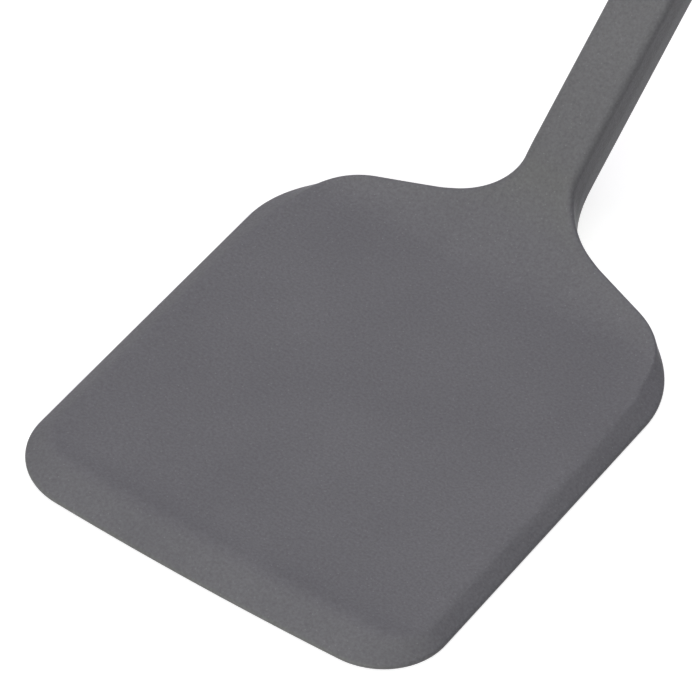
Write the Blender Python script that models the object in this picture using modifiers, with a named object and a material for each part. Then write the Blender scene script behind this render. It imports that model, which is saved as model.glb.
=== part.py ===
"""Silicone turner: a moulded silicone skin over a formed steel plate and a two-part nylon handle core.

Every piece is drawn in a flat plan: u runs across the tool, v runs from the front edge of the blade
to the butt of the handle, and h is the height over the blade's underside. The plan is then formed
along one centre path, which is flat under the blade, bends up at the neck and eases off a little
towards the butt. The origin is the centre of the blade's flat underside. +X runs across the blade,
+Y from the front edge to the handle, and +Z is up.
"""

import math

import bmesh
import bpy
from mathutils import Euler, Vector

MM = 0.001

# Blade plan
BLADE_WIDTH = 85.0 * MM
FRONT_BOW = 1.3 * MM
FRONT_CORNER_RADIUS = 13.5 * MM
SIDE_END = 77.5 * MM
SHOULDER_RADIUS = 21.5 * MM
SHOULDER_SLOPE = math.radians(19.0)
NECK_FILLET_RADIUS = 17.5 * MM

# Blade section: a flat underside, a flat top and a bevel that steepens down to a thin rim. Before the
# shoulders the bevel gets straight, and it runs out along them
BLADE_THICKNESS = 2.8 * MM
RIM_THICKNESS = 1.0 * MM
FRONT_BEVEL = 7.6 * MM
SIDE_BEVEL = 3.8 * MM
BEVEL_KNEE_INSET_SHARE = 0.67
BEVEL_KNEE_DROP_SHARE = 0.18
FRONT_CREASE = 1.3 * MM
SIDE_CREASE = 0.8 * MM
RIM_ROUNDING = 0.5 * MM
UNDER_ROUNDING = 0.7 * MM
BEVEL_RUNOUT_AFTER_SIDE = 6.5 * MM
BEVEL_RUNOUT_LENGTH = 13.5 * MM
KNEE_RUNOUT_LENGTH = 10.0 * MM
SHOULDER_CREASE = 0.35 * MM
SHOULDER_UNDER_ROUNDING = 0.75 * MM
SHOULDER_BEVEL = 0.2 * MM
CREASE_FALL_SHARE = 1.2
END_LIMIT_SHARE = 0.6
STRAIGHT_SHARE = 0.5

# Neck: the top thickens, then the tool bends up and its underside drops below the path
NECK_WIDTH = 11.7 * MM
NECK_THICKNESS = 11.6 * MM
NECK_CORNER_RADIUS = 2.6 * MM
SIDE_DRAFT = 0.3 * MM
THICKENING_LEAD = 13.0 * MM
THICKENING_LENGTH = 33.0 * MM
BEND_LEAD = 0.6 * MM
BEND_LENGTH = 16.0 * MM
BEND_ANGLE = math.radians(39.0)
UNDERSIDE_DROP = 1.3 * MM
UNDERSIDE_DROP_LAG = 1.0 * MM
UNDERSIDE_DROP_LENGTH = 15.0 * MM

# Handle
HANDLE_LENGTH = 180.0 * MM
HANDLE_STRAIGHT = 46.0 * MM
HANDLE_EASE_ANGLE = math.radians(8.0)
WIDENING_LENGTH = 140.0 * MM
BUTT_WIDTH = 18.0 * MM
BUTT_THICKNESS = 10.4 * MM
BUTT_CORNER_RADIUS = 3.4 * MM

# Hanging slot
SLOT_WIDTH = 7.0 * MM
SLOT_LENGTH = 16.0 * MM
SLOT_TO_BUTT = 6.2 * MM
SLOT_LIP = 0.8 * MM

# Steel plate inside the blade, with a tang up the neck
PLATE_THICKNESS = 0.8 * MM
PLATE_SIDE_INSET = 5.5 * MM
PLATE_FRONT_INSET = 8.6 * MM
PLATE_NECK_FILLET = 10.0 * MM
TANG_WIDTH = 7.4 * MM
TANG_LENGTH = 44.0 * MM
KEY_HOLE_DIAMETER = 6.0 * MM
KEY_HOLE_EDGE = 8.5 * MM
KEY_COLUMNS = 4
KEY_ROWS = 3

# Nylon handle core in two halves, one over and one under the tang
SKIN_WALL = 2.2 * MM
CORE_AFTER_BEND_START = 6.0 * MM
CORE_CHAMFER = 0.9 * MM
CORE_END_RADIUS = 1.4 * MM

# Rivets through both halves
RIVET_DIAMETER = 2.4 * MM
RIVET_HEAD_DIAMETER = 3.8 * MM
RIVET_HEAD_HEIGHT = 0.8 * MM
RIVET_END_MARGIN = 9.0 * MM
RIVET_HEAD_SINK = 0.1 * MM

# Clearance between pieces that touch
CLEARANCE = 0.3 * MM

# How finely curved stretches are divided
CORNER_STEPS = 7
SHOULDER_STEPS = 9
FILLET_STEPS = 9
BUTT_STEPS = 9
HANDLE_STEPS = 15
KNEE_STEPS = 4
CREASE_STEPS = 3
RIM_STEPS = 2
UNDER_STEPS = 3
HOLE_STEPS = 14
FORMING_STEP = 3.0 * MM

# A 45 degree chamfer that is offset by g keeps this share of g along each of its two faces
CHAMFER_OFFSET_SHARE = 1.0 - math.tan(math.radians(22.5))

COLLECTION_NAME = "silicone_turner"
CUTTER_COLLECTION_NAME = "cutters"


def smooth_step(value):
    """Rise from 0 to 1 with level ends."""
    value = min(max(value, 0.0), 1.0)
    return value * value * (3.0 - 2.0 * value)


def shoulder_line_end(half, side_end, shoulder, fillet, tail_half):
    """The v where the sloping shoulder line of a blade plan meets its neck fillet."""
    slope = SHOULDER_SLOPE
    start_u = half - shoulder + shoulder * math.sin(slope)
    start_v = side_end + shoulder * math.cos(slope)
    end_u = tail_half + fillet - fillet * math.sin(slope)
    return start_v + (start_u - end_u) * math.tan(slope)


BLADE_HALF = BLADE_WIDTH / 2
NECK_HALF = NECK_WIDTH / 2
BUTT_RADIUS = BUTT_WIDTH / 2
NECK_TOP = NECK_THICKNESS - UNDERSIDE_DROP
BUTT_TOP = BUTT_THICKNESS - UNDERSIDE_DROP
SHOULDER_END = shoulder_line_end(BLADE_HALF, SIDE_END, SHOULDER_RADIUS, NECK_FILLET_RADIUS, NECK_HALF)
NECK_END = SHOULDER_END + NECK_FILLET_RADIUS * math.cos(SHOULDER_SLOPE)
THICKENING_START = SHOULDER_END - THICKENING_LEAD
BEND_START = SHOULDER_END + BEND_LEAD
BEVEL_RUNOUT_START = SIDE_END + BEVEL_RUNOUT_AFTER_SIDE
HANDLE_END = NECK_END + HANDLE_LENGTH
BUTT_CENTRE = HANDLE_END - BUTT_RADIUS
WIDENING_START = BUTT_CENTRE - WIDENING_LENGTH
EASE_START = BEND_START + BEND_LENGTH + HANDLE_STRAIGHT
SLOT_CENTRE = HANDLE_END - SLOT_TO_BUTT - SLOT_LENGTH / 2
TANG_END = NECK_END + TANG_LENGTH
CORE_START = BEND_START + CORE_AFTER_BEND_START
CORE_END_ARC = BUTT_RADIUS - SKIN_WALL
ORIGIN_V = BEND_START / 2

# The centre path as stretches of length and turn
PATH = (
    (BEND_START, 0.0),
    (BEND_LENGTH, BEND_ANGLE),
    (HANDLE_STRAIGHT, 0.0),
    (HANDLE_END - EASE_START, -HANDLE_EASE_ANGLE),
)


def path_point(v):
    """The centre path at v: its y and z, and its pitch."""
    y, z, pitch = -ORIGIN_V, 0.0, 0.0
    for length, turn in PATH:
        run = min(v, length)
        if turn and run > 0.0:
            radius = length / turn
            end_pitch = pitch + run / radius
            y += radius * (math.sin(end_pitch) - math.sin(pitch))
            z += radius * (math.cos(pitch) - math.cos(end_pitch))
            pitch = end_pitch
        else:
            y += run * math.cos(pitch)
            z += run * math.sin(pitch)
        v -= run
        if v <= 0.0:
            return y, z, pitch
    return y + v * math.cos(pitch), z + v * math.sin(pitch), pitch


def place(u, v, h):
    """A point of the plan, formed along the centre path."""
    y, z, pitch = path_point(v)
    return Vector((u, y - h * math.sin(pitch), z + h * math.cos(pitch)))


def thickening(v):
    return smooth_step((v - THICKENING_START) / THICKENING_LENGTH)


def widening(v):
    return smooth_step((v - WIDENING_START) / WIDENING_LENGTH)


def top_height(v):
    handle_top = NECK_TOP + (BUTT_TOP - NECK_TOP) * widening(v)
    return BLADE_THICKNESS + (handle_top - BLADE_THICKNESS) * thickening(v)


def underside_height(v):
    start = BEND_START + UNDERSIDE_DROP_LAG
    return -UNDERSIDE_DROP * smooth_step((v - start) / UNDERSIDE_DROP_LENGTH)


def middle_height(v):
    return (top_height(v) + underside_height(v)) / 2


def handle_half(v):
    return NECK_HALF + (BUTT_RADIUS - NECK_HALF) * widening(v)


def core_half_height(v):
    return (top_height(v) - underside_height(v)) / 2 - SKIN_WALL


def arc(centre_u, centre_v, radius, start, end, steps):
    """Points and outward normals of an arc. A negative radius gives a fillet on the far side of its centre."""
    points = []
    for step in range(steps + 1):
        angle = start + (end - start) * step / steps
        normal = (math.cos(angle), math.sin(angle))
        points.append((centre_u + radius * normal[0], centre_v + radius * normal[1], *normal))
    return points


def blade_plan(half, front, corner, shoulder, fillet, tail_half, side_rows=()):
    """Right half of a blade plan, from the middle of the front edge to the end of the neck fillet.

    It has a point at each of side_rows, which lie along the straight side.
    """
    slope = SHOULDER_SLOPE
    lean = math.atan(2 * FRONT_BOW * (half - corner) / half**2)
    front_end = half - corner + corner * math.sin(lean)
    corner_v = front + FRONT_BOW * (front_end / half) ** 2 + corner * math.cos(lean)
    points = []
    for share in (0.0, 0.35, 0.7):
        u = front_end * share
        tilt = math.atan(2 * FRONT_BOW * u / half**2)
        points.append((u, front + FRONT_BOW * (u / half) ** 2, math.sin(tilt), -math.cos(tilt)))
    points += arc(half - corner, corner_v, corner, lean - math.pi / 2, 0.0, CORNER_STEPS)
    points += [(half, v, 1.0, 0.0) for v in side_rows]
    points += arc(half - shoulder, SIDE_END, shoulder, 0.0, math.pi / 2 - slope, SHOULDER_STEPS)
    neck_v = shoulder_line_end(half, SIDE_END, shoulder, fillet, tail_half) + fillet * math.cos(slope)
    points += arc(tail_half + fillet, neck_v, -fillet, math.pi / 2 - slope, 0.0, FILLET_STEPS)
    return points


def turner_plan():
    """Right half of the whole tool's outline, from the middle of the front edge to the tip of the butt."""
    knee_rows = [SIDE_END - KNEE_RUNOUT_LENGTH * step / KNEE_STEPS for step in range(KNEE_STEPS, 0, -1)]
    points = blade_plan(
        BLADE_HALF, 0.0, FRONT_CORNER_RADIUS, SHOULDER_RADIUS, NECK_FILLET_RADIUS, NECK_HALF, knee_rows
    )
    points += side_points(NECK_END, 0.0)
    points += arc(0.0, BUTT_CENTRE, BUTT_RADIUS, 0.0, math.pi / 2, BUTT_STEPS)
    return points


def side_points(start, inset):
    """Points along the side of the handle, inset into it, after start and up to the butt arc."""
    points = []
    for step in range(1, HANDLE_STEPS):
        v = start + (BUTT_CENTRE - start) * step / HANDLE_STEPS
        tilt = math.atan((handle_half(v + FORMING_STEP) - handle_half(v - FORMING_STEP)) / (2 * FORMING_STEP))
        points.append((handle_half(v) - inset, v, math.cos(tilt), -math.sin(tilt)))
    return points


def core_plan():
    """Right half of the core's outline, from the middle of its front end to the tip behind the slot."""
    corner_u = NECK_HALF - SKIN_WALL - CORE_END_RADIUS
    points = [(0.0, CORE_START, 0.0, -1.0)]
    points += arc(corner_u, CORE_START + CORE_END_RADIUS, CORE_END_RADIUS, -math.pi / 2, 0.0, CREASE_STEPS)
    points += side_points(CORE_START + CORE_END_RADIUS, SKIN_WALL)
    points += arc(0.0, BUTT_CENTRE, CORE_END_ARC, 0.0, math.pi / 2, BUTT_STEPS)
    return points


def quadratic(first, corner, last, steps):
    """Points of a quadratic curve, in which corner pulls the middle."""
    points = []
    for step in range(steps + 1):
        t = step / steps
        a, b, c = (1 - t) ** 2, 2 * t * (1 - t), t * t
        points.append(tuple(a * p + b * q + c * r for p, q, r in zip(first, corner, last)))
    return points


def toward(first, last, distance):
    """The point at that distance from first on the way to last, or at most END_LIMIT_SHARE of the way."""
    share = min(distance / math.dist(first, last), END_LIMIT_SHARE)
    return tuple(a + (b - a) * share for a, b in zip(first, last))


def skin_profile(point):
    """The skin's edge at one outline point, as insets and heights from the top face to the underside."""
    _, v, across, along = point
    to_shoulder = smooth_step((v - BEVEL_RUNOUT_START) / BEVEL_RUNOUT_LENGTH)
    to_straight = smooth_step((v - SIDE_END) / KNEE_RUNOUT_LENGTH + 1)
    to_handle = thickening(v)
    to_front = along**2 if along < 0 else 0.0
    corner_radius = NECK_CORNER_RADIUS + (BUTT_CORNER_RADIUS - NECK_CORNER_RADIUS) * widening(v)
    handle_middle = middle_height(v)

    def blend(blade, shoulder, handle):
        return (blade * (1 - to_shoulder) + shoulder * to_shoulder) * (1 - to_handle) + handle * to_handle

    bevel = SIDE_BEVEL + (FRONT_BEVEL - SIDE_BEVEL) * to_front
    blade_crease = SIDE_CREASE + (FRONT_CREASE - SIDE_CREASE) * to_front
    blade_crease += (SHOULDER_CREASE - blade_crease) * to_straight
    top, under = top_height(v), underside_height(v)
    width = blend(bevel, SHOULDER_BEVEL, SIDE_DRAFT)
    crease = blend(blade_crease, SHOULDER_CREASE, corner_radius)
    rim_top = RIM_THICKNESS + (handle_middle - RIM_THICKNESS) * to_handle
    rim_middle = RIM_THICKNESS / 2 + (under + corner_radius - RIM_THICKNESS / 2) * to_handle
    under_inset = blend(UNDER_ROUNDING, SHOULDER_UNDER_ROUNDING, corner_radius)
    under_draft = SIDE_DRAFT * to_handle
    knee_inset = width * (BEVEL_KNEE_INSET_SHARE + (STRAIGHT_SHARE - BEVEL_KNEE_INSET_SHARE) * to_straight)
    knee_drop_share = BEVEL_KNEE_DROP_SHARE + (STRAIGHT_SHARE - BEVEL_KNEE_DROP_SHARE) * to_straight
    knee_drop = (top - rim_top) * knee_drop_share
    knee = (knee_inset, top - knee_drop)
    bevel_top = toward((width, top), knee, crease * CREASE_FALL_SHARE)
    bevel_foot = toward((0.0, rim_top), knee, RIM_ROUNDING)
    rim_side, low_corner = (under_draft, rim_middle), (under_draft, under)
    profile = quadratic((width + crease, top), (width, top), bevel_top, CREASE_STEPS)
    profile.append(knee)
    profile += quadratic(bevel_foot, (0.0, rim_top), rim_side, RIM_STEPS)
    profile += quadratic(rim_side, low_corner, (under_draft + under_inset, under), UNDER_STEPS)[1:]
    return [(inset, raised(point, inset, h)) for inset, h in profile]


def raised(point, inset, h):
    """A height of the profile, set to the thickness that the tool has where the inset point lies."""
    _, v, _, along = point
    top, under = top_height(v), underside_height(v)
    return under + (h - under) / (top - under) * (top_height(v - along * inset) - under)


def envelope_profile(point):
    """The hollow that the skin leaves for the core: both halves and the clearance round them."""
    v = point[1]
    top = middle_height(v) + core_half_height(v)
    under = middle_height(v) - core_half_height(v)
    kept = CLEARANCE * CHAMFER_OFFSET_SHARE
    chamfer_inset = CORE_CHAMFER - kept
    return [
        (chamfer_inset, top + CLEARANCE),
        (-CLEARANCE, top - chamfer_inset),
        (-CLEARANCE, under + chamfer_inset),
        (chamfer_inset, under - CLEARANCE),
    ]


def upper_core_profile(point):
    v = point[1]
    top = middle_height(v) + core_half_height(v)
    parting = middle_height(v) + CLEARANCE / 2
    return [(CORE_CHAMFER, top), (0.0, top - CORE_CHAMFER), (0.0, parting)]


def lower_core_profile(point):
    v = point[1]
    under = middle_height(v) - core_half_height(v)
    parting = middle_height(v) - CLEARANCE / 2
    return [(0.0, parting), (0.0, under + CORE_CHAMFER), (CORE_CHAMFER, under)]


def loft(name, outline, profile, flat_top_end=0.0, flat_under_end=0.0):
    """A closed solid whose edge profile runs round a symmetric outline.

    The outline is the right half, and its first and last points are on the centre plane. Up to
    flat_top_end and flat_under_end, and at least to the third point, the top and the underside are
    one face each, and past them they are rungs from side to side.
    """
    half_count = len(outline)
    ring = outline + [(-u, v, -across, along) for u, v, across, along in outline[-2:0:-1]]
    count = len(ring)
    bm = bmesh.new()
    columns = []
    for point in ring:
        u, v, across, along = point
        column = [bm.verts.new(place(u - across * inset, v - along * inset, h)) for inset, h in profile(point)]
        columns.append(column)
    for index, column in enumerate(columns):
        following = columns[(index + 1) % count]
        for row in range(len(column) - 1):
            bm.faces.new((column[row], column[row + 1], following[row + 1], following[row]))
    for row, flat_end, upward in ((0, flat_top_end, True), (-1, flat_under_end, False)):
        flat_last = max((i for i in range(half_count) if ring[i][1] < flat_end), default=2)
        faces = [[*range(flat_last + 1), *range(count - flat_last, count)]]
        for index in range(flat_last, half_count - 1):
            corners = (index, index + 1, count - index - 1, count - index)
            faces.append([corner % count for corner in corners])
        for face in faces:
            vertices = [columns[corner][row] for corner in dict.fromkeys(face)]
            bm.faces.new(vertices if upward else vertices[::-1])
    return finished_object(name, bm)


def finished_object(name, bm):
    mesh = bpy.data.meshes.new(name)
    bm.to_mesh(mesh)
    bm.free()
    return bpy.data.objects.new(name, mesh)


def flat_sheet(name, loops, thickness):
    """A flat sheet from closed loops of (u, v), the first its outline and the others its holes."""
    curve = bpy.data.curves.new(name, "CURVE")
    curve.dimensions = "2D"
    curve.fill_mode = "BOTH"
    curve.extrude = thickness / 2
    for loop in loops:
        spline = curve.splines.new("POLY")
        spline.points.add(len(loop) - 1)
        for point, (u, v) in zip(spline.points, loop):
            point.co = (u, v, 0.0, 1.0)
        spline.use_cyclic_u = True
    source = bpy.data.objects.new(name + "_outline", curve)
    bpy.context.scene.collection.objects.link(source)
    evaluated = source.evaluated_get(bpy.context.evaluated_depsgraph_get())
    bm = bmesh.new()
    bm.from_mesh(bpy.data.meshes.new_from_object(evaluated))
    bpy.data.objects.remove(source)
    bmesh.ops.remove_doubles(bm, verts=bm.verts, dist=0.001 * MM)
    return bm


def form_sheet(bm, start, end):
    """Slice a flat sheet across between start and end, then form it along the centre path."""
    steps = math.ceil((end - start) / FORMING_STEP)
    for step in range(steps + 1):
        v = start + (end - start) * step / steps
        geometry = bm.verts[:] + bm.edges[:] + bm.faces[:]
        bmesh.ops.bisect_plane(bm, geom=geometry, plane_co=(0.0, v, 0.0), plane_no=(0.0, 1.0, 0.0), dist=0.01 * MM)
    bmesh.ops.triangulate(bm, faces=[face for face in bm.faces if len(face.verts) > 4])
    for vertex in bm.verts:
        u, v, h = vertex.co
        vertex.co = place(u, v, middle_height(v) + h)


def circle(centre_u, centre_v, radius, start):
    points = arc(centre_u, centre_v, radius, start, start + math.tau, HOLE_STEPS)
    return [(point[0], point[1]) for point in points[:-1]]


def key_hole_centres():
    """Where the silicone over the plate joins the silicone under it."""
    half = BLADE_HALF - PLATE_SIDE_INSET - KEY_HOLE_EDGE
    first = PLATE_FRONT_INSET + FRONT_BOW + KEY_HOLE_EDGE
    for row in range(KEY_ROWS):
        v = first + (SIDE_END - first) * row / (KEY_ROWS - 1)
        for column in range(KEY_COLUMNS):
            yield half * (2 * column / (KEY_COLUMNS - 1) - 1), v


def plate(name, grow):
    """The plate and its tang, or with grow the hollow that they need.

    Each hole starts at its own angle, so no corners of neighbouring holes lie in one line.
    """
    tang_half = TANG_WIDTH / 2
    outline = blade_plan(
        BLADE_HALF - PLATE_SIDE_INSET + grow,
        PLATE_FRONT_INSET - grow,
        FRONT_CORNER_RADIUS - PLATE_SIDE_INSET + grow,
        SHOULDER_RADIUS - PLATE_SIDE_INSET + grow,
        PLATE_NECK_FILLET - grow,
        tang_half + grow,
    )
    outline += arc(0.0, TANG_END - tang_half, tang_half + grow, 0.0, math.pi / 2, FILLET_STEPS)
    right = [(u, v) for u, v, _, _ in outline]
    loops = [right + [(-u, v) for u, v in right[-2:0:-1]]]
    for start, (u, v) in enumerate(key_hole_centres()):
        loops.append(circle(u, v, KEY_HOLE_DIAMETER / 2 - grow, start))
    bm = flat_sheet(name, loops, PLATE_THICKNESS + 2 * grow)
    form_sheet(bm, THICKENING_START, TANG_END - tang_half)
    return finished_object(name, bm)


def stand_on_path(obj, v):
    """Set a piece that is symmetric about the middle of the handle square to the path at v."""
    obj.location = place(0.0, v, middle_height(v))
    obj.rotation_euler = Euler((path_point(v)[2], 0.0, 0.0))


def rivet_places():
    """Two rivets through the tang and two through the core alone."""
    slot_start = SLOT_CENTRE - SLOT_LENGTH / 2
    last = slot_start - RIVET_END_MARGIN
    tang_last = TANG_END - RIVET_END_MARGIN
    return (NECK_END + RIVET_END_MARGIN, tang_last, (tang_last + last) / 2, last)


def rivet(name, v, grow):
    """A rivet with a flat head at each end, or with grow the hole that it needs."""
    reach = core_half_height(v) - RIVET_HEAD_SINK + grow
    seat = core_half_height(v) - RIVET_HEAD_SINK - RIVET_HEAD_HEIGHT - grow
    shank = RIVET_DIAMETER / 2 + grow
    head = RIVET_HEAD_DIAMETER / 2 + grow
    profile = [(0.0, reach), (head, reach), (head, seat), (shank, seat)]
    profile += [(radius, -z) for radius, z in reversed(profile)]
    mesh = bpy.data.meshes.new(name)
    mesh.from_pydata([(x, 0.0, z) for x, z in profile], [(i, i + 1) for i in range(len(profile) - 1)], [])
    obj = bpy.data.objects.new(name, mesh)
    screw = obj.modifiers.new("turn", "SCREW")
    screw.steps = screw.render_steps = HOLE_STEPS
    screw.use_merge_vertices = True
    screw.merge_threshold = 0.01 * MM
    stand_on_path(obj, v)
    return obj


def slot_cutter(name):
    """The hanging slot, flared at both mouths to leave a chamfered lip."""
    half_straight = (SLOT_LENGTH - SLOT_WIDTH) / 2
    radius = SLOT_WIDTH / 2
    half_thickness = (top_height(SLOT_CENTRE) - underside_height(SLOT_CENTRE)) / 2
    beyond = BLADE_THICKNESS
    rows = (
        (half_thickness + beyond, SLOT_LIP + beyond),
        (half_thickness - SLOT_LIP, 0.0),
        (SLOT_LIP - half_thickness, 0.0),
        (-half_thickness - beyond, SLOT_LIP + beyond),
    )
    bm = bmesh.new()
    rings = []
    for height, flare in rows:
        far = arc(0.0, half_straight, radius + flare, 0.0, math.pi, 2 * BUTT_STEPS)
        near = arc(0.0, -half_straight, radius + flare, math.pi, math.tau, 2 * BUTT_STEPS)
        rings.append([bm.verts.new((point[0], point[1], height)) for point in far + near])
    for upper, lower in zip(rings, rings[1:]):
        for index in range(len(upper)):
            following = (index + 1) % len(upper)
            bm.faces.new((upper[index], lower[index], lower[following], upper[following]))
    bm.faces.new(rings[0])
    bm.faces.new(rings[-1][::-1])
    obj = finished_object(name, bm)
    stand_on_path(obj, SLOT_CENTRE)
    return obj


def material(name, colour, roughness, metallic=0.0):
    made = bpy.data.materials.new(name)
    made.use_nodes = True
    shader = made.node_tree.nodes["Principled BSDF"]
    shader.inputs["Base Color"].default_value = (*colour, 1.0)
    shader.inputs["Roughness"].default_value = roughness
    shader.inputs["Metallic"].default_value = metallic
    made.diffuse_color = (*colour, 1.0)
    return made


def cut(obj, cutters):
    for cutter in cutters:
        modifier = obj.modifiers.new(cutter.name, "BOOLEAN")
        modifier.operation = "DIFFERENCE"
        modifier.solver = "EXACT"
        modifier.object = cutter


def keep(obj, collection, finish, sharp_angle=math.radians(30.0)):
    """Put a finished piece in the tool's collection, with its material and smooth shading."""
    collection.objects.link(obj)
    obj.data.materials.append(finish)
    obj.data.shade_smooth()
    obj.data.set_sharp_from_angle(angle=sharp_angle)
    return obj


def hide_cutter(obj, collection):
    collection.objects.link(obj)
    obj.hide_render = True
    obj.display_type = "WIRE"
    return obj


def clear_scene():
    for obj in list(bpy.data.objects):
        bpy.data.objects.remove(obj)


def main():
    clear_scene()
    pieces = bpy.data.collections.new(COLLECTION_NAME)
    cutters = bpy.data.collections.new(CUTTER_COLLECTION_NAME)
    bpy.context.scene.collection.children.link(pieces)
    bpy.context.scene.collection.children.link(cutters)

    silicone = material("silicone", (0.145, 0.142, 0.156), 0.62)
    steel = material("stainless_steel", (0.56, 0.56, 0.57), 0.38, 1.0)
    nylon = material("nylon", (0.030, 0.031, 0.034), 0.55)

    plate_hollow = hide_cutter(plate("plate_hollow", CLEARANCE), cutters)
    core_hollow = hide_cutter(loft("core_hollow", core_plan(), envelope_profile), cutters)
    slot = hide_cutter(slot_cutter("hanging_slot"), cutters)
    rivet_holes = []
    for number, v in enumerate(rivet_places(), 1):
        rivet_holes.append(hide_cutter(rivet(f"rivet_hole_{number}", v, CLEARANCE), cutters))

    skin = loft("silicone_skin", turner_plan(), skin_profile, THICKENING_START, BEND_START)
    cut(keep(skin, pieces, silicone), (plate_hollow, core_hollow, slot))

    cut(keep(plate("blade_plate", 0.0), pieces, steel), rivet_holes[:2])

    upper = keep(loft("handle_core_upper", core_plan(), upper_core_profile), pieces, nylon)
    lower = keep(loft("handle_core_lower", core_plan(), lower_core_profile), pieces, nylon)
    for half in (upper, lower):
        cut(half, (plate_hollow, slot, *rivet_holes))

    for number, v in enumerate(rivet_places(), 1):
        keep(rivet(f"core_rivet_{number}", v, 0.0), pieces, steel)


main()
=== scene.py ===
"""Looks of the silicone turner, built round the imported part.

The silicone skin is lofted finer than the part's own solid, from the same sizes. Every piece made here is
drawn in a flat plan: u runs across the tool, v runs from the front edge of the blade to the butt of the
handle, and h is the height over the blade's underside. The plan is then formed along one centre path. The
steel plate, the nylon cores and the rivets are the part's own solids with their finish.
"""

import math

import bmesh
import bpy
from mathutils import Euler, Matrix, Vector


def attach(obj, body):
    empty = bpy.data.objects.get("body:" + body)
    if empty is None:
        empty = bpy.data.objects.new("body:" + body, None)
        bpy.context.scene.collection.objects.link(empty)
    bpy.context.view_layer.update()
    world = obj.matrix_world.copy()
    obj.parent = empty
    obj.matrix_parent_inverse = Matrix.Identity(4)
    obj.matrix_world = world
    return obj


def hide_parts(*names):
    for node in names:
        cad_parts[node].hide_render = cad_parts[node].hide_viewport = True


MM = 0.001

# Blade plan
BLADE_WIDTH = 85.0 * MM
FRONT_BOW = 1.3 * MM
FRONT_CORNER_RADIUS = 13.5 * MM
SIDE_END = 77.5 * MM
SHOULDER_RADIUS = 21.5 * MM
SHOULDER_SLOPE = math.radians(19.0)
NECK_FILLET_RADIUS = 17.5 * MM

# Blade section: a flat underside, a flat top and a bevel that steepens down to a thin rim. Before the
# shoulders the bevel gets straight, and it runs out along them
BLADE_THICKNESS = 2.8 * MM
RIM_THICKNESS = 1.0 * MM
FRONT_BEVEL = 7.6 * MM
SIDE_BEVEL = 3.8 * MM
BEVEL_KNEE_INSET_SHARE = 0.67
BEVEL_KNEE_DROP_SHARE = 0.18
FRONT_CREASE = 1.3 * MM
SIDE_CREASE = 0.8 * MM
RIM_ROUNDING = 0.5 * MM
UNDER_ROUNDING = 0.7 * MM
BEVEL_RUNOUT_AFTER_SIDE = 6.5 * MM
BEVEL_RUNOUT_LENGTH = 13.5 * MM
KNEE_RUNOUT_LENGTH = 10.0 * MM
SHOULDER_CREASE = 0.35 * MM
SHOULDER_UNDER_ROUNDING = 0.75 * MM
SHOULDER_BEVEL = 0.2 * MM
CREASE_FALL_SHARE = 1.2
END_LIMIT_SHARE = 0.6
STRAIGHT_SHARE = 0.5

# The blade's top and the handle's top are a little dished, so each has a soft raised border
DISH_DEPTH = 0.25 * MM
DISH_REACH = 4.8 * MM
DISH_HANDLE_SHARE = 0.97
DISH_SLOPE = 2 * DISH_DEPTH / DISH_REACH

# Neck: the top thickens, then the tool bends up and its underside drops below the path
NECK_WIDTH = 11.7 * MM
NECK_THICKNESS = 11.6 * MM
NECK_CORNER_RADIUS = 2.6 * MM
SIDE_DRAFT = 0.3 * MM
THICKENING_LEAD = 13.0 * MM
THICKENING_LENGTH = 33.0 * MM
BEND_LEAD = 0.6 * MM
BEND_LENGTH = 16.0 * MM
BEND_ANGLE = math.radians(39.0)
UNDERSIDE_DROP = 1.3 * MM
UNDERSIDE_DROP_LAG = 1.0 * MM
UNDERSIDE_DROP_LENGTH = 15.0 * MM

# Handle
HANDLE_LENGTH = 180.0 * MM
HANDLE_STRAIGHT = 46.0 * MM
HANDLE_EASE_ANGLE = math.radians(8.0)
WIDENING_LENGTH = 140.0 * MM
BUTT_WIDTH = 18.0 * MM
BUTT_THICKNESS = 10.4 * MM
BUTT_CORNER_RADIUS = 3.4 * MM

# Hanging slot
SLOT_WIDTH = 7.0 * MM
SLOT_LENGTH = 16.0 * MM
SLOT_TO_BUTT = 6.2 * MM
SLOT_LIP = 0.8 * MM
SLOT_LIP_TURN = math.radians(78.0)

# Hollows for the steel plate and for the nylon core
PLATE_THICKNESS = 0.8 * MM
PLATE_SIDE_INSET = 5.5 * MM
PLATE_FRONT_INSET = 8.6 * MM
PLATE_NECK_FILLET = 10.0 * MM
TANG_WIDTH = 7.4 * MM
TANG_LENGTH = 44.0 * MM
KEY_HOLE_DIAMETER = 6.0 * MM
KEY_HOLE_EDGE = 8.5 * MM
KEY_COLUMNS = 4
KEY_ROWS = 3
SKIN_WALL = 2.2 * MM
CORE_AFTER_BEND_START = 6.0 * MM
CORE_CHAMFER = 0.9 * MM
CORE_END_RADIUS = 1.4 * MM
CLEARANCE = 0.3 * MM
CHAMFER_OFFSET_SHARE = 1.0 - math.tan(math.radians(22.5))

# How finely curved stretches are divided
CORNER_STEPS = 28
SHOULDER_STEPS = 36
FILLET_STEPS = 32
BUTT_STEPS = 32
OUTLINE_STEP = 1.0 * MM
DISH_STEPS = 6
CREASE_STEPS = 8
BEVEL_STEPS = 8
RIM_STEPS = 4
UNDER_STEPS = 6
LIP_STEPS = 8
HOLE_STEPS = 32
FORMING_STEP = 3.0 * MM
SHARP_ANGLE = math.radians(32.0)
CUT_TOLERANCE = 0.01 * MM
MERGE_DISTANCE = 0.001 * MM

# Camera: the point of the floor that it looks at, and where it stands
CAMERA_AIM = (-9.5 * MM, 10.78 * MM, 0.0)
CAMERA_DISTANCE = 1142.3 * MM
CAMERA_AZIMUTH = math.radians(30.829)
CAMERA_ELEVATION = math.radians(46.197)
CAMERA_ROLL = math.radians(4.617)
CAMERA_LENS = 332.54
SENSOR_WIDTH = 36.0

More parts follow.
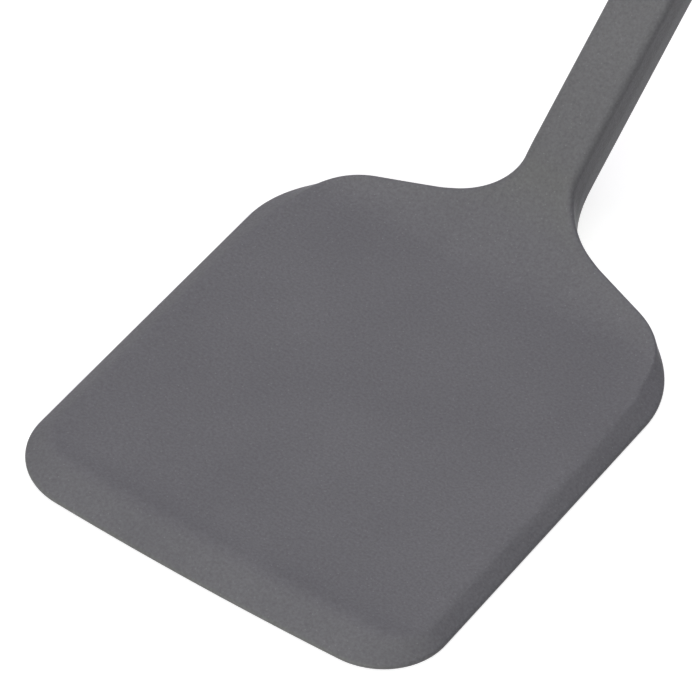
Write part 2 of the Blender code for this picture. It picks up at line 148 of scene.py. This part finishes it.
# Floor: its glow is for the rays that look at it, which then see it as white but for a faint shadow
FLOOR_SIZE = 6.0
FLOOR_DROP = 0.2 * MM
FLOOR_TONES = ((0.45, 0.45, 0.45, 1.0), (0.46, 0.46, 0.46, 1.0))
FLOOR_TONE_SCALE = 8.0
FLOOR_ROUGHNESS = 0.9
FLOOR_GLOW = 0.84

# World: a little light of its own, and white for the rays that look at it
WORLD_LIGHT = (0.05, 0.05, 0.05, 1.0)
WHITE = (1.0, 1.0, 1.0, 1.0)

# The values that most of a noise lies between
NOISE_LOW, NOISE_HIGH = 0.3, 0.7

# Silicone: its tones, the scales of clouds, grain and specks in cycles per metre, the swing that the
# grain gives its tone, and how it takes light
SILICONE_TONES = ((0.138, 0.136, 0.148, 1.0), (0.156, 0.154, 0.166, 1.0))
SPECK_TONE = (0.205, 0.203, 0.215, 1.0)
CLOUD_SCALE = 45.0
GRAIN_SCALE = 2000.0
GRAIN_SWING = 0.17
GRAIN_HEIGHT = 0.075 * MM
SPECK_SCALE = 780.0
SPECK_RADIUS = 0.17 * MM
SILICONE_ROUGHNESS = 0.6
SILICONE_IOR = 1.41
SHEEN_WEIGHT = 0.25
SHEEN_ROUGHNESS = 0.3

# Steel and nylon
STEEL_TONES = ((0.50, 0.50, 0.51, 1.0), (0.62, 0.62, 0.63, 1.0))
STEEL_TONE_SCALE = 60.0
STEEL_ROUGHNESS = (0.28, 0.42)
STEEL_ROUGHNESS_SCALE = 400.0
NYLON_TONES = ((0.022, 0.022, 0.024, 1.0), (0.040, 0.040, 0.043, 1.0))
NYLON_TONE_SCALE = 900.0
NYLON_ROUGHNESS = (0.45, 0.6)
NYLON_ROUGHNESS_SCALE = 500.0
NYLON_GRAIN_SCALE = 1500.0
NYLON_GRAIN_HEIGHT = 0.02 * MM

# Soft boxes: name, azimuth and elevation in degrees, power in watts and colour. Distance and size in metres
LAMPS = (
    ("lamp_over", 0.0, 90.0, 9.4, (0.93, 1.0, 0.86)),
    ("lamp_back_left", 225.0, 60.0, 15.6, (0.93, 0.87, 1.0)),
    ("lamp_front", 15.0, 32.0, 13.3, (0.80, 0.75, 1.0)),
    ("lamp_front_low", 0.0, 8.0, 29.3, (0.94, 1.0, 0.71)),
)
LAMP_DISTANCE = 2.2
LAMP_SIZE = 1.2


def smooth_step(value):
    """Rise from 0 to 1 with level ends."""
    value = min(max(value, 0.0), 1.0)
    return value * value * (3.0 - 2.0 * value)


def shoulder_line_end(half, side_end, shoulder, fillet, tail_half):
    """The v where the sloping shoulder line of a blade plan meets its neck fillet."""
    slope = SHOULDER_SLOPE
    start_u = half - shoulder + shoulder * math.sin(slope)
    start_v = side_end + shoulder * math.cos(slope)
    end_u = tail_half + fillet - fillet * math.sin(slope)
    return start_v + (start_u - end_u) * math.tan(slope)


BLADE_HALF = BLADE_WIDTH / 2
NECK_HALF = NECK_WIDTH / 2
BUTT_RADIUS = BUTT_WIDTH / 2
NECK_TOP = NECK_THICKNESS - UNDERSIDE_DROP
BUTT_TOP = BUTT_THICKNESS - UNDERSIDE_DROP
SHOULDER_END = shoulder_line_end(BLADE_HALF, SIDE_END, SHOULDER_RADIUS, NECK_FILLET_RADIUS, NECK_HALF)
NECK_END = SHOULDER_END + NECK_FILLET_RADIUS * math.cos(SHOULDER_SLOPE)
THICKENING_START = SHOULDER_END - THICKENING_LEAD
BEND_START = SHOULDER_END + BEND_LEAD
BEVEL_RUNOUT_START = SIDE_END + BEVEL_RUNOUT_AFTER_SIDE
HANDLE_END = NECK_END + HANDLE_LENGTH
BUTT_CENTRE = HANDLE_END - BUTT_RADIUS
WIDENING_START = BUTT_CENTRE - WIDENING_LENGTH
EASE_START = BEND_START + BEND_LENGTH + HANDLE_STRAIGHT
SLOT_CENTRE = HANDLE_END - SLOT_TO_BUTT - SLOT_LENGTH / 2
TANG_END = NECK_END + TANG_LENGTH
CORE_START = BEND_START + CORE_AFTER_BEND_START
ORIGIN_V = BEND_START / 2

# The centre path as stretches of length and turn
PATH = (
    (BEND_START, 0.0),
    (BEND_LENGTH, BEND_ANGLE),
    (HANDLE_STRAIGHT, 0.0),
    (HANDLE_END - EASE_START, -HANDLE_EASE_ANGLE),
)


def path_point(v):
    """The centre path at v: its y and z, and its pitch."""
    y, z, pitch = -ORIGIN_V, 0.0, 0.0
    for length, turn in PATH:
        run = min(v, length)
        if turn and run > 0.0:
            radius = length / turn
            end_pitch = pitch + run / radius
            y += radius * (math.sin(end_pitch) - math.sin(pitch))
            z += radius * (math.cos(pitch) - math.cos(end_pitch))
            pitch = end_pitch
        else:
            y += run * math.cos(pitch)
            z += run * math.sin(pitch)
        v -= run
        if v <= 0.0:
            return y, z, pitch
    return y + v * math.cos(pitch), z + v * math.sin(pitch), pitch


def place(u, v, h):
    """A point of the plan, formed along the centre path."""
    y, z, pitch = path_point(v)
    return Vector((u, y - h * math.sin(pitch), z + h * math.cos(pitch)))


def thickening(v):
    return smooth_step((v - THICKENING_START) / THICKENING_LENGTH)


def widening(v):
    return smooth_step((v - WIDENING_START) / WIDENING_LENGTH)


def top_height(v):
    handle_top = NECK_TOP + (BUTT_TOP - NECK_TOP) * widening(v)
    return BLADE_THICKNESS + (handle_top - BLADE_THICKNESS) * thickening(v)


def underside_height(v):
    start = BEND_START + UNDERSIDE_DROP_LAG
    return -UNDERSIDE_DROP * smooth_step((v - start) / UNDERSIDE_DROP_LENGTH)


def middle_height(v):
    return (top_height(v) + underside_height(v)) / 2


def handle_half(v):
    return NECK_HALF + (BUTT_RADIUS - NECK_HALF) * widening(v)


def core_half_height(v):
    return (top_height(v) - underside_height(v)) / 2 - SKIN_WALL


def arc(centre_u, centre_v, radius, start, end, steps):
    """Points and outward normals of an arc.

    A negative radius gives a fillet on the far side of its centre.
    """
    points = []
    for step in range(steps + 1):
        angle = start + (end - start) * step / steps
        normal = (math.cos(angle), math.sin(angle))
        points.append((centre_u + radius * normal[0], centre_v + radius * normal[1], *normal))
    return points


def mixed(first, last, share):
    return tuple(a + (b - a) * share for a, b in zip(first, last))


def divided(points):
    """The same outline with a point at least every OUTLINE_STEP."""
    result = [points[0]]
    for first, last in zip(points, points[1:]):
        count = math.ceil(math.dist(first[:2], last[:2]) / OUTLINE_STEP)
        result += [mixed(first, last, step / count) for step in range(1, count + 1)]
    return result


def blade_plan(half, front, corner, shoulder, fillet, tail_half):
    """Right half of a blade plan, from the middle of the front edge to the end of the neck fillet."""
    slope = SHOULDER_SLOPE
    lean = math.atan(2 * FRONT_BOW * (half - corner) / half**2)
    front_end = half - corner + corner * math.sin(lean)
    corner_v = front + FRONT_BOW * (front_end / half) ** 2 + corner * math.cos(lean)
    points = []
    for step in range(CORNER_STEPS):
        u = front_end * step / CORNER_STEPS
        tilt = math.atan(2 * FRONT_BOW * u / half**2)
        points.append((u, front + FRONT_BOW * (u / half) ** 2, math.sin(tilt), -math.cos(tilt)))
    points += arc(half - corner, corner_v, corner, lean - math.pi / 2, 0.0, CORNER_STEPS)
    points += arc(half - shoulder, SIDE_END, shoulder, 0.0, math.pi / 2 - slope, SHOULDER_STEPS)
    neck_v = shoulder_line_end(half, SIDE_END, shoulder, fillet, tail_half) + fillet * math.cos(slope)
    points += arc(tail_half + fillet, neck_v, -fillet, math.pi / 2 - slope, 0.0, FILLET_STEPS)
    return points


def turner_plan():
    """Right half of the whole tool's outline, from the middle of the front edge to the tip of the butt."""
    points = blade_plan(BLADE_HALF, 0.0, FRONT_CORNER_RADIUS, SHOULDER_RADIUS, NECK_FILLET_RADIUS, NECK_HALF)
    points += side_points(NECK_END, 0.0)
    points += arc(0.0, BUTT_CENTRE, BUTT_RADIUS, 0.0, math.pi / 2, BUTT_STEPS)
    return divided(points)


def side_points(start, inset):
    """Points along the side of the handle, inset into it, after start and up to the butt arc."""
    points = []
    count = math.ceil((BUTT_CENTRE - start) / OUTLINE_STEP)
    for step in range(1, count):
        v = start + (BUTT_CENTRE - start) * step / count
        tilt = math.atan((handle_half(v + FORMING_STEP) - handle_half(v - FORMING_STEP)) / (2 * FORMING_STEP))
        points.append((handle_half(v) - inset, v, math.cos(tilt), -math.sin(tilt)))
    return points


def core_plan():
    """Right half of the core's outline, from the middle of its front end to the tip behind the slot."""
    corner_u = NECK_HALF - SKIN_WALL - CORE_END_RADIUS
    points = [(0.0, CORE_START, 0.0, -1.0)]
    points += arc(corner_u, CORE_START + CORE_END_RADIUS, CORE_END_RADIUS, -math.pi / 2, 0.0, CREASE_STEPS)
    points += side_points(CORE_START + CORE_END_RADIUS, SKIN_WALL)
    points += arc(0.0, BUTT_CENTRE, BUTT_RADIUS - SKIN_WALL, 0.0, math.pi / 2, BUTT_STEPS)
    return points


def quadratic(first, corner, last, steps):
    """Points of a quadratic curve, in which corner pulls the middle."""
    points = []
    for step in range(steps + 1):
        t = step / steps
        a, b, c = (1 - t) ** 2, 2 * t * (1 - t), t * t
        points.append(tuple(a * p + b * q + c * r for p, q, r in zip(first, corner, last)))
    return points


def toward(first, last, distance):
    """The point at that distance from first on the way to last, or at most END_LIMIT_SHARE of the way."""
    share = min(distance / math.dist(first, last), END_LIMIT_SHARE)
    return tuple(a + (b - a) * share for a, b in zip(first, last))


def skin_profile(point):
    """The skin's edge at one outline point, as insets and heights from the top face to the underside."""
    _, v, across, along = point
    to_shoulder = smooth_step((v - BEVEL_RUNOUT_START) / BEVEL_RUNOUT_LENGTH)
    to_straight = smooth_step((v - SIDE_END) / KNEE_RUNOUT_LENGTH + 1)
    to_handle = thickening(v)
    to_front = along**2 if along < 0 else 0.0
    corner_radius = NECK_CORNER_RADIUS + (BUTT_CORNER_RADIUS - NECK_CORNER_RADIUS) * widening(v)
    handle_middle = middle_height(v)

    def blend(blade, shoulder, handle):
        return (blade * (1 - to_shoulder) + shoulder * to_shoulder) * (1 - to_handle) + handle * to_handle

    bevel = SIDE_BEVEL + (FRONT_BEVEL - SIDE_BEVEL) * to_front
    blade_crease = SIDE_CREASE + (FRONT_CREASE - SIDE_CREASE) * to_front
    blade_crease += (SHOULDER_CREASE - blade_crease) * to_straight
    top, under = top_height(v), underside_height(v)
    width = blend(bevel, SHOULDER_BEVEL, SIDE_DRAFT)
    crease = blend(blade_crease, SHOULDER_CREASE, corner_radius)
    rim_top = RIM_THICKNESS + (handle_middle - RIM_THICKNESS) * to_handle
    rim_middle = RIM_THICKNESS / 2 + (under + corner_radius - RIM_THICKNESS / 2) * to_handle
    under_inset = blend(UNDER_ROUNDING, SHOULDER_UNDER_ROUNDING, corner_radius)
    under_draft = SIDE_DRAFT * to_handle
    knee_inset = width * (BEVEL_KNEE_INSET_SHARE + (STRAIGHT_SHARE - BEVEL_KNEE_INSET_SHARE) * to_straight)
    knee_drop_share = BEVEL_KNEE_DROP_SHARE + (STRAIGHT_SHARE - BEVEL_KNEE_DROP_SHARE) * to_straight
    knee_drop = (top - rim_top) * knee_drop_share
    knee = (knee_inset, top - knee_drop)
    bevel_top = toward((width, top), knee, crease * CREASE_FALL_SHARE)
    bevel_foot = toward((0.0, rim_top), knee, RIM_ROUNDING)
    rim_side, low_corner = (under_draft, rim_middle), (under_draft, under)
    flat_half = handle_half(v) - SIDE_DRAFT - corner_radius
    reach = DISH_REACH + (flat_half * DISH_HANDLE_SHARE - DISH_REACH) * to_handle
    lip = DISH_SLOPE * crease * (1 - to_handle)
    profile = []
    for step in range(DISH_STEPS, 0, -1):
        share = step / DISH_STEPS
        depth = lip + DISH_DEPTH * (1 - (1 - share) ** 2)
        profile.append((width + crease + reach * share, top - depth))
    profile += quadratic((width + crease, top - lip), (width, top), bevel_top, CREASE_STEPS)
    profile += quadratic(bevel_top, knee, bevel_foot, BEVEL_STEPS)[1:]
    profile += quadratic(bevel_foot, (0.0, rim_top), rim_side, RIM_STEPS)[1:]
    profile += quadratic(rim_side, low_corner, (under_draft + under_inset, under), UNDER_STEPS)[1:]
    return [(inset, raised(point, inset, h)) for inset, h in profile]


def raised(point, inset, h):
    """A height of the profile, set to the thickness that the tool has where the inset point lies."""
    _, v, _, along = point
    top, under = top_height(v), underside_height(v)
    return under + (h - under) / (top - under) * (top_height(v - along * inset) - under)


def envelope_profile(point):
    """The hollow that the skin leaves for the core: both halves and the clearance round them."""
    v = point[1]
    top = middle_height(v) + core_half_height(v)
    under = middle_height(v) - core_half_height(v)
    kept = CLEARANCE * CHAMFER_OFFSET_SHARE
    chamfer_inset = CORE_CHAMFER - kept
    return [
        (chamfer_inset, top + CLEARANCE),
        (-CLEARANCE, top - chamfer_inset),
        (-CLEARANCE, under + chamfer_inset),
        (chamfer_inset, under - CLEARANCE),
    ]


def loft(name, outline, profile, flat_top_end=0.0, flat_under_end=0.0):
    """A closed solid whose edge profile runs round a symmetric outline.

    The outline is the right half, and its first and last points are on the centre plane. Up to
    flat_top_end and flat_under_end, and at least to the third point, the top and the underside are
    one face each, and past them they are rungs from side to side.
    """
    half_count = len(outline)
    ring = outline + [(-u, v, -across, along) for u, v, across, along in outline[-2:0:-1]]
    count = len(ring)
    bm = bmesh.new()
    columns = []
    for point in ring:
        u, v, across, along = point
        section = [place(u - across * inset, v - along * inset, h) for inset, h in profile(point)]
        columns.append([bm.verts.new(position) for position in section])
    for index, column in enumerate(columns):
        following = columns[(index + 1) % count]
        for row in range(len(column) - 1):
            bm.faces.new((column[row], column[row + 1], following[row + 1], following[row]))
    for row, flat_end, upward in ((0, flat_top_end, True), (-1, flat_under_end, False)):
        flat_last = max((i for i in range(half_count) if ring[i][1] < flat_end), default=2)
        faces = [[*range(flat_last + 1), *range(count - flat_last, count)]]
        for index in range(flat_last, half_count - 1):
            corners = (index, index + 1, count - index - 1, count - index)
            faces.append([corner % count for corner in corners])
        for face in faces:
            vertices = [columns[corner][row] for corner in dict.fromkeys(face)]
            bm.faces.new(vertices if upward else vertices[::-1])
    return finished_object(name, bm)


def finished_object(name, bm):
    mesh = bpy.data.meshes.new(name)
    bm.to_mesh(mesh)
    bm.free()
    obj = bpy.data.objects.new(name, mesh)
    bpy.context.scene.collection.objects.link(obj)
    return obj


def circle(centre_u, centre_v, radius, start):
    points = arc(centre_u, centre_v, radius, start, start + math.tau, HOLE_STEPS)
    return [(point[0], point[1]) for point in points[:-1]]


def key_hole_centres():
    """Where the silicone over the plate joins the silicone under it."""
    half = BLADE_HALF - PLATE_SIDE_INSET - KEY_HOLE_EDGE
    first = PLATE_FRONT_INSET + FRONT_BOW + KEY_HOLE_EDGE
    for row in range(KEY_ROWS):
        v = first + (SIDE_END - first) * row / (KEY_ROWS - 1)
        for column in range(KEY_COLUMNS):
            yield half * (2 * column / (KEY_COLUMNS - 1) - 1), v


def plate_hollow():
    """The hollow that the skin leaves for the steel plate and its tang, with posts through the key holes."""
    tang_half = TANG_WIDTH / 2
    outline = blade_plan(
        BLADE_HALF - PLATE_SIDE_INSET + CLEARANCE,
        PLATE_FRONT_INSET - CLEARANCE,
        FRONT_CORNER_RADIUS - PLATE_SIDE_INSET + CLEARANCE,
        SHOULDER_RADIUS - PLATE_SIDE_INSET + CLEARANCE,
        PLATE_NECK_FILLET - CLEARANCE,
        tang_half + CLEARANCE,
    )
    outline += arc(0.0, TANG_END - tang_half, tang_half + CLEARANCE, 0.0, math.pi / 2, FILLET_STEPS)
    right = [(u, v) for u, v, _, _ in outline]
    loops = [right + [(-u, v) for u, v in right[-2:0:-1]]]
    for start, (u, v) in enumerate(key_hole_centres()):
        loops.append(circle(u, v, KEY_HOLE_DIAMETER / 2 - CLEARANCE, start))
    bm = flat_sheet(loops, PLATE_THICKNESS + 2 * CLEARANCE)
    form_sheet(bm, THICKENING_START, TANG_END - tang_half)
    return finished_object("plate_hollow", bm)


def flat_sheet(loops, thickness):
    """A flat sheet from closed loops of (u, v), the first its outline and the others its holes."""
    curve = bpy.data.curves.new("sheet_outline", "CURVE")
    curve.dimensions = "2D"
    curve.fill_mode = "BOTH"
    curve.extrude = thickness / 2
    for loop in loops:
        spline = curve.splines.new("POLY")
        spline.points.add(len(loop) - 1)
        for point, (u, v) in zip(spline.points, loop):
            point.co = (u, v, 0.0, 1.0)
        spline.use_cyclic_u = True
    source = bpy.data.objects.new("sheet_outline", curve)
    bpy.context.scene.collection.objects.link(source)
    bm = bmesh.new()
    bm.from_mesh(evaluated_mesh(source))
    bpy.data.objects.remove(source)
    bmesh.ops.remove_doubles(bm, verts=bm.verts, dist=MERGE_DISTANCE)
    return bm


def form_sheet(bm, start, end):
    """Slice a flat sheet across between start and end, then form it along the centre path."""
    steps = math.ceil((end - start) / FORMING_STEP)
    for step in range(steps + 1):
        v = start + (end - start) * step / steps
        geometry = bm.verts[:] + bm.edges[:] + bm.faces[:]
        cut = {"plane_co": (0.0, v, 0.0), "plane_no": (0.0, 1.0, 0.0), "dist": CUT_TOLERANCE}
        bmesh.ops.bisect_plane(bm, geom=geometry, **cut)
    bmesh.ops.triangulate(bm, faces=[face for face in bm.faces if len(face.verts) > 4])
    for vertex in bm.verts:
        u, v, h = vertex.co
        vertex.co = place(u, v, middle_height(v) + h)


def slot_rows():
    """Heights and flares of the slot cutter, from over the tool to under it, with a lip at each end."""
    half_thickness = (top_height(SLOT_CENTRE) - underside_height(SLOT_CENTRE)) / 2
    lip = []
    for step in range(LIP_STEPS + 1):
        angle = SLOT_LIP_TURN * step / LIP_STEPS
        height = half_thickness - SLOT_LIP * (1 - math.sin(angle))
        lip.append((height, SLOT_LIP * (1 - math.cos(angle))))
    height, flare = lip[-1]
    beyond = BLADE_THICKNESS
    lip.append((height + beyond * math.cos(SLOT_LIP_TURN), flare + beyond * math.sin(SLOT_LIP_TURN)))
    return lip[::-1] + [(-height, flare) for height, flare in lip]


def slot_cutter():
    """The hanging slot, with rounded lips."""
    half_straight = (SLOT_LENGTH - SLOT_WIDTH) / 2
    radius = SLOT_WIDTH / 2
    bm = bmesh.new()
    rings = []
    for height, flare in slot_rows():
        far = arc(0.0, half_straight, radius + flare, 0.0, math.pi, 2 * BUTT_STEPS)
        near = arc(0.0, -half_straight, radius + flare, math.pi, math.tau, 2 * BUTT_STEPS)
        rings.append([bm.verts.new((point[0], point[1], height)) for point in far + near])
    for upper, lower in zip(rings, rings[1:]):
        for index in range(len(upper)):
            following = (index + 1) % len(upper)
            bm.faces.new((upper[index], lower[index], lower[following], upper[following]))
    bm.faces.new(rings[0])
    bm.faces.new(rings[-1][::-1])
    obj = finished_object("hanging_slot", bm)
    obj.location = place(0.0, SLOT_CENTRE, middle_height(SLOT_CENTRE))
    obj.rotation_euler = Euler((path_point(SLOT_CENTRE)[2], 0.0, 0.0))
    return obj


def evaluated_mesh(obj):
    """A new mesh of the object as its modifiers leave it."""
    graph = bpy.context.evaluated_depsgraph_get()
    return bpy.data.meshes.new_from_object(obj.evaluated_get(graph), depsgraph=graph)


def apply_modifiers(obj):
    mesh = evaluated_mesh(obj)
    obj.modifiers.clear()
    obj.data = mesh


def silicone_skin():
    """The seamless skin, hollow where the plate and the core lie, and open at the hanging slot."""
    skin = loft("turner_skin", turner_plan(), skin_profile, THICKENING_START, BEND_START)
    cutters = (plate_hollow(), loft("core_hollow", core_plan(), envelope_profile), slot_cutter())
    for cutter in cutters:
        modifier = skin.modifiers.new(cutter.name, "BOOLEAN")
        modifier.operation = "DIFFERENCE"
        modifier.solver = "EXACT"
        modifier.object = cutter
    apply_modifiers(skin)
    for cutter in cutters:
        bpy.data.objects.remove(cutter)
    skin.data.shade_smooth()
    skin.data.set_sharp_from_angle(angle=SHARP_ANGLE)
    weighted = skin.modifiers.new("weighted", "WEIGHTED_NORMAL")
    weighted.keep_sharp = True
    apply_modifiers(skin)
    return skin


def new_material(name):
    """A new material, its node tree and its Principled shader."""
    made = bpy.data.materials.new(name)
    made.use_nodes = True
    return made, made.node_tree, made.node_tree.nodes["Principled BSDF"]


def noise(tree, scale, detail, roughness=0.5):
    """Noise in the object's own coordinates, in cycles per metre."""
    coordinates = tree.nodes.get("coordinates")
    if coordinates is None:
        coordinates = tree.nodes.new("ShaderNodeTexCoord")
        coordinates.name = "coordinates"
    node = tree.nodes.new("ShaderNodeTexNoise")
    node.inputs["Scale"].default_value = scale
    node.inputs["Detail"].default_value = detail
    node.inputs["Roughness"].default_value = roughness
    tree.links.new(coordinates.outputs["Object"], node.inputs["Vector"])
    return node.outputs["Fac"]


def specks(tree):
    """1 at the middle of each scattered speck, falling to 0 at its rim."""
    node = tree.nodes.new("ShaderNodeTexVoronoi")
    node.inputs["Scale"].default_value = SPECK_SCALE
    tree.links.new(tree.nodes["coordinates"].outputs["Object"], node.inputs["Vector"])
    radius = SPECK_RADIUS * SPECK_SCALE
    return remapped(tree, node.outputs["Distance"], radius / 2, radius, 1.0, 0.0)


def remapped(tree, value, from_low, from_high, to_low, to_high):
    node = tree.nodes.new("ShaderNodeMapRange")
    limits = {"From Min": from_low, "From Max": from_high, "To Min": to_low, "To Max": to_high}
    for name, number in limits.items():
        node.inputs[name].default_value = number
    tree.links.new(value, node.inputs["Value"])
    return node.outputs["Result"]


def spread(tree, value, low, high):
    """A noise's usual values, stretched to run from low to high."""
    return remapped(tree, value, NOISE_LOW, NOISE_HIGH, low, high)


def mixed_colour(tree, factor, first, second, blend="MIX"):
    """A colour mix whose sides are each a colour or another node's output.

    Of a mix node's sockets, input 0 is the factor, 6 and 7 are the two colours, and output 2 is the colour.
    """
    node = tree.nodes.new("ShaderNodeMix")
    node.data_type = "RGBA"
    node.blend_type = blend
    for index, side in ((0, factor), (6, first), (7, second)):
        if isinstance(side, bpy.types.NodeSocket):
            tree.links.new(side, node.inputs[index])
        else:
            node.inputs[index].default_value = side
    return node.outputs[2]


def bump(tree, shader, height, distance):
    node = tree.nodes.new("ShaderNodeBump")
    node.inputs["Distance"].default_value = distance
    tree.links.new(height, node.inputs["Height"])
    tree.links.new(node.outputs["Normal"], shader.inputs["Normal"])


def silicone_material():
    """Matte grey silicone from a blasted mould: a fine grain, faint clouding and scattered pale specks."""
    made, tree, shader = new_material("matte_grey_silicone")
    base = mixed_colour(tree, spread(tree, noise(tree, CLOUD_SCALE, detail=3.0), 0.0, 1.0), *SILICONE_TONES)
    grain = noise(tree, GRAIN_SCALE, detail=3.0, roughness=0.6)
    shading = spread(tree, grain, 1.0 - GRAIN_SWING, 1.0 + GRAIN_SWING)
    base = mixed_colour(tree, 1.0, base, shading, "MULTIPLY")
    base = mixed_colour(tree, specks(tree), base, SPECK_TONE)
    tree.links.new(base, shader.inputs["Base Color"])
    shader.inputs["Roughness"].default_value = SILICONE_ROUGHNESS
    shader.inputs["IOR"].default_value = SILICONE_IOR
    shader.inputs["Sheen Weight"].default_value = SHEEN_WEIGHT
    shader.inputs["Sheen Roughness"].default_value = SHEEN_ROUGHNESS
    bump(tree, shader, grain, GRAIN_HEIGHT)
    return made


def steel_material():
    """Rolled stainless steel with a slightly uneven tone and polish."""
    made, tree, shader = new_material("brushed_stainless_steel")
    shader.inputs["Metallic"].default_value = 1.0
    tone = mixed_colour(tree, noise(tree, STEEL_TONE_SCALE, detail=3.0), *STEEL_TONES)
    tree.links.new(tone, shader.inputs["Base Color"])
    roughness = spread(tree, noise(tree, STEEL_ROUGHNESS_SCALE, detail=2.0), *STEEL_ROUGHNESS)
    tree.links.new(roughness, shader.inputs["Roughness"])
    return made


def nylon_material():
    """Black glass-filled nylon with a faint fibrous grain."""
    made, tree, shader = new_material("black_nylon")
    tone = mixed_colour(tree, noise(tree, NYLON_TONE_SCALE, detail=4.0), *NYLON_TONES)
    tree.links.new(tone, shader.inputs["Base Color"])
    roughness = spread(tree, noise(tree, NYLON_ROUGHNESS_SCALE, detail=3.0), *NYLON_ROUGHNESS)
    tree.links.new(roughness, shader.inputs["Roughness"])
    bump(tree, shader, noise(tree, NYLON_GRAIN_SCALE, detail=3.0), NYLON_GRAIN_HEIGHT)
    return made


def seen_directly(tree):
    """1 for camera, glossy and transmission rays, 0 for the rays that carry light."""
    path = tree.nodes.new("ShaderNodeLightPath")
    total = path.outputs["Is Camera Ray"]
    for name in ("Is Glossy Ray", "Is Transmission Ray"):
        node = tree.nodes.new("ShaderNodeMath")
        node.operation = "MAXIMUM"
        tree.links.new(total, node.inputs[0])
        tree.links.new(path.outputs[name], node.inputs[1])
        total = node.outputs[0]
    return total


def white_world():
    world = bpy.data.worlds.new("studio")
    bpy.context.scene.world = world
    world.use_nodes = True
    tree = world.node_tree
    background = tree.nodes["Background"]
    colour = mixed_colour(tree, seen_directly(tree), WORLD_LIGHT, WHITE)
    tree.links.new(colour, background.inputs["Color"])


def floor_material():
    """Pale floor: it takes the soft shadow, and is lifted to white for the rays that look at it."""
    made, tree, shader = new_material("pale_floor")
    shader.inputs["Roughness"].default_value = FLOOR_ROUGHNESS
    tone = mixed_colour(tree, noise(tree, FLOOR_TONE_SCALE, detail=2.0), *FLOOR_TONES)
    tree.links.new(tone, shader.inputs["Base Color"])
    shader.inputs["Emission Color"].default_value = WHITE
    glow = remapped(tree, seen_directly(tree), 0.0, 1.0, 0.0, FLOOR_GLOW)
    tree.links.new(glow, shader.inputs["Emission Strength"])
    return made


def floor():
    bm = bmesh.new()
    bmesh.ops.create_grid(bm, x_segments=1, y_segments=1, size=FLOOR_SIZE / 2)
    obj = finished_object("floor", bm)
    obj.location.z = -FLOOR_DROP
    obj.data.materials.append(floor_material())


def outward(azimuth, elevation):
    """The direction from the object to something at that azimuth and elevation, in radians."""
    level = math.cos(elevation)
    return Vector((math.sin(azimuth) * level, -math.cos(azimuth) * level, math.sin(elevation)))


def lamp(name, azimuth, elevation, power, colour):
    """A square soft box that faces the object."""
    data = bpy.data.lights.new(name, "AREA")
    data.size = LAMP_SIZE
    data.energy = power
    data.color = colour
    obj = bpy.data.objects.new(name, data)
    direction = outward(math.radians(azimuth), math.radians(elevation))
    obj.location = direction * LAMP_DISTANCE
    obj.rotation_euler = direction.to_track_quat("Z", "Y").to_euler()
    obj.visible_camera = False
    bpy.context.scene.collection.objects.link(obj)


def camera():
    data = bpy.data.cameras.new("camera")
    data.lens = CAMERA_LENS
    data.sensor_width = SENSOR_WIDTH
    obj = bpy.data.objects.new("camera", data)
    turn = Matrix.Rotation(CAMERA_AZIMUTH, 4, "Z")
    pitch = Matrix.Rotation(math.pi / 2 - CAMERA_ELEVATION, 4, "X")
    roll = Matrix.Rotation(CAMERA_ROLL, 4, "Z")
    place_at = Vector(CAMERA_AIM) + outward(CAMERA_AZIMUTH, CAMERA_ELEVATION) * CAMERA_DISTANCE
    obj.matrix_world = Matrix.Translation(place_at) @ turn @ pitch @ roll
    bpy.context.scene.collection.objects.link(obj)
    bpy.context.scene.camera = obj


def dress(node, finish):
    """Give a carried-over solid its finish."""
    for slot in node.material_slots:
        slot.material = finish


def corners(box):
    return [list(corner) for corner in box]


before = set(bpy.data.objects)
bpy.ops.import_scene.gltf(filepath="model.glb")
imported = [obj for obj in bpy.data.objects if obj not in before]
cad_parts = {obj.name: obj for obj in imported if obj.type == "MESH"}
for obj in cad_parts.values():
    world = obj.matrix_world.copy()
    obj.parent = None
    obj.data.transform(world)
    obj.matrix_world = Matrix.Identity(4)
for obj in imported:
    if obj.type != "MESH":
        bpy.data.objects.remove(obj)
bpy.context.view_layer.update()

bpy.context.scene.view_settings.view_transform = "Standard"

skin = silicone_skin()
skin.data.materials.clear()
skin.data.materials.append(silicone_material())
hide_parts("silicone_skin")
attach(skin, "root")

steel, nylon = steel_material(), nylon_material()
for name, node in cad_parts.items():
    if name.startswith("handle_core"):
        dress(node, nylon)
    elif name.startswith("core_rivet") or name == "blade_plate":
        dress(node, steel)

white_world()
floor()
for settings in LAMPS:
    lamp(*settings)
camera()
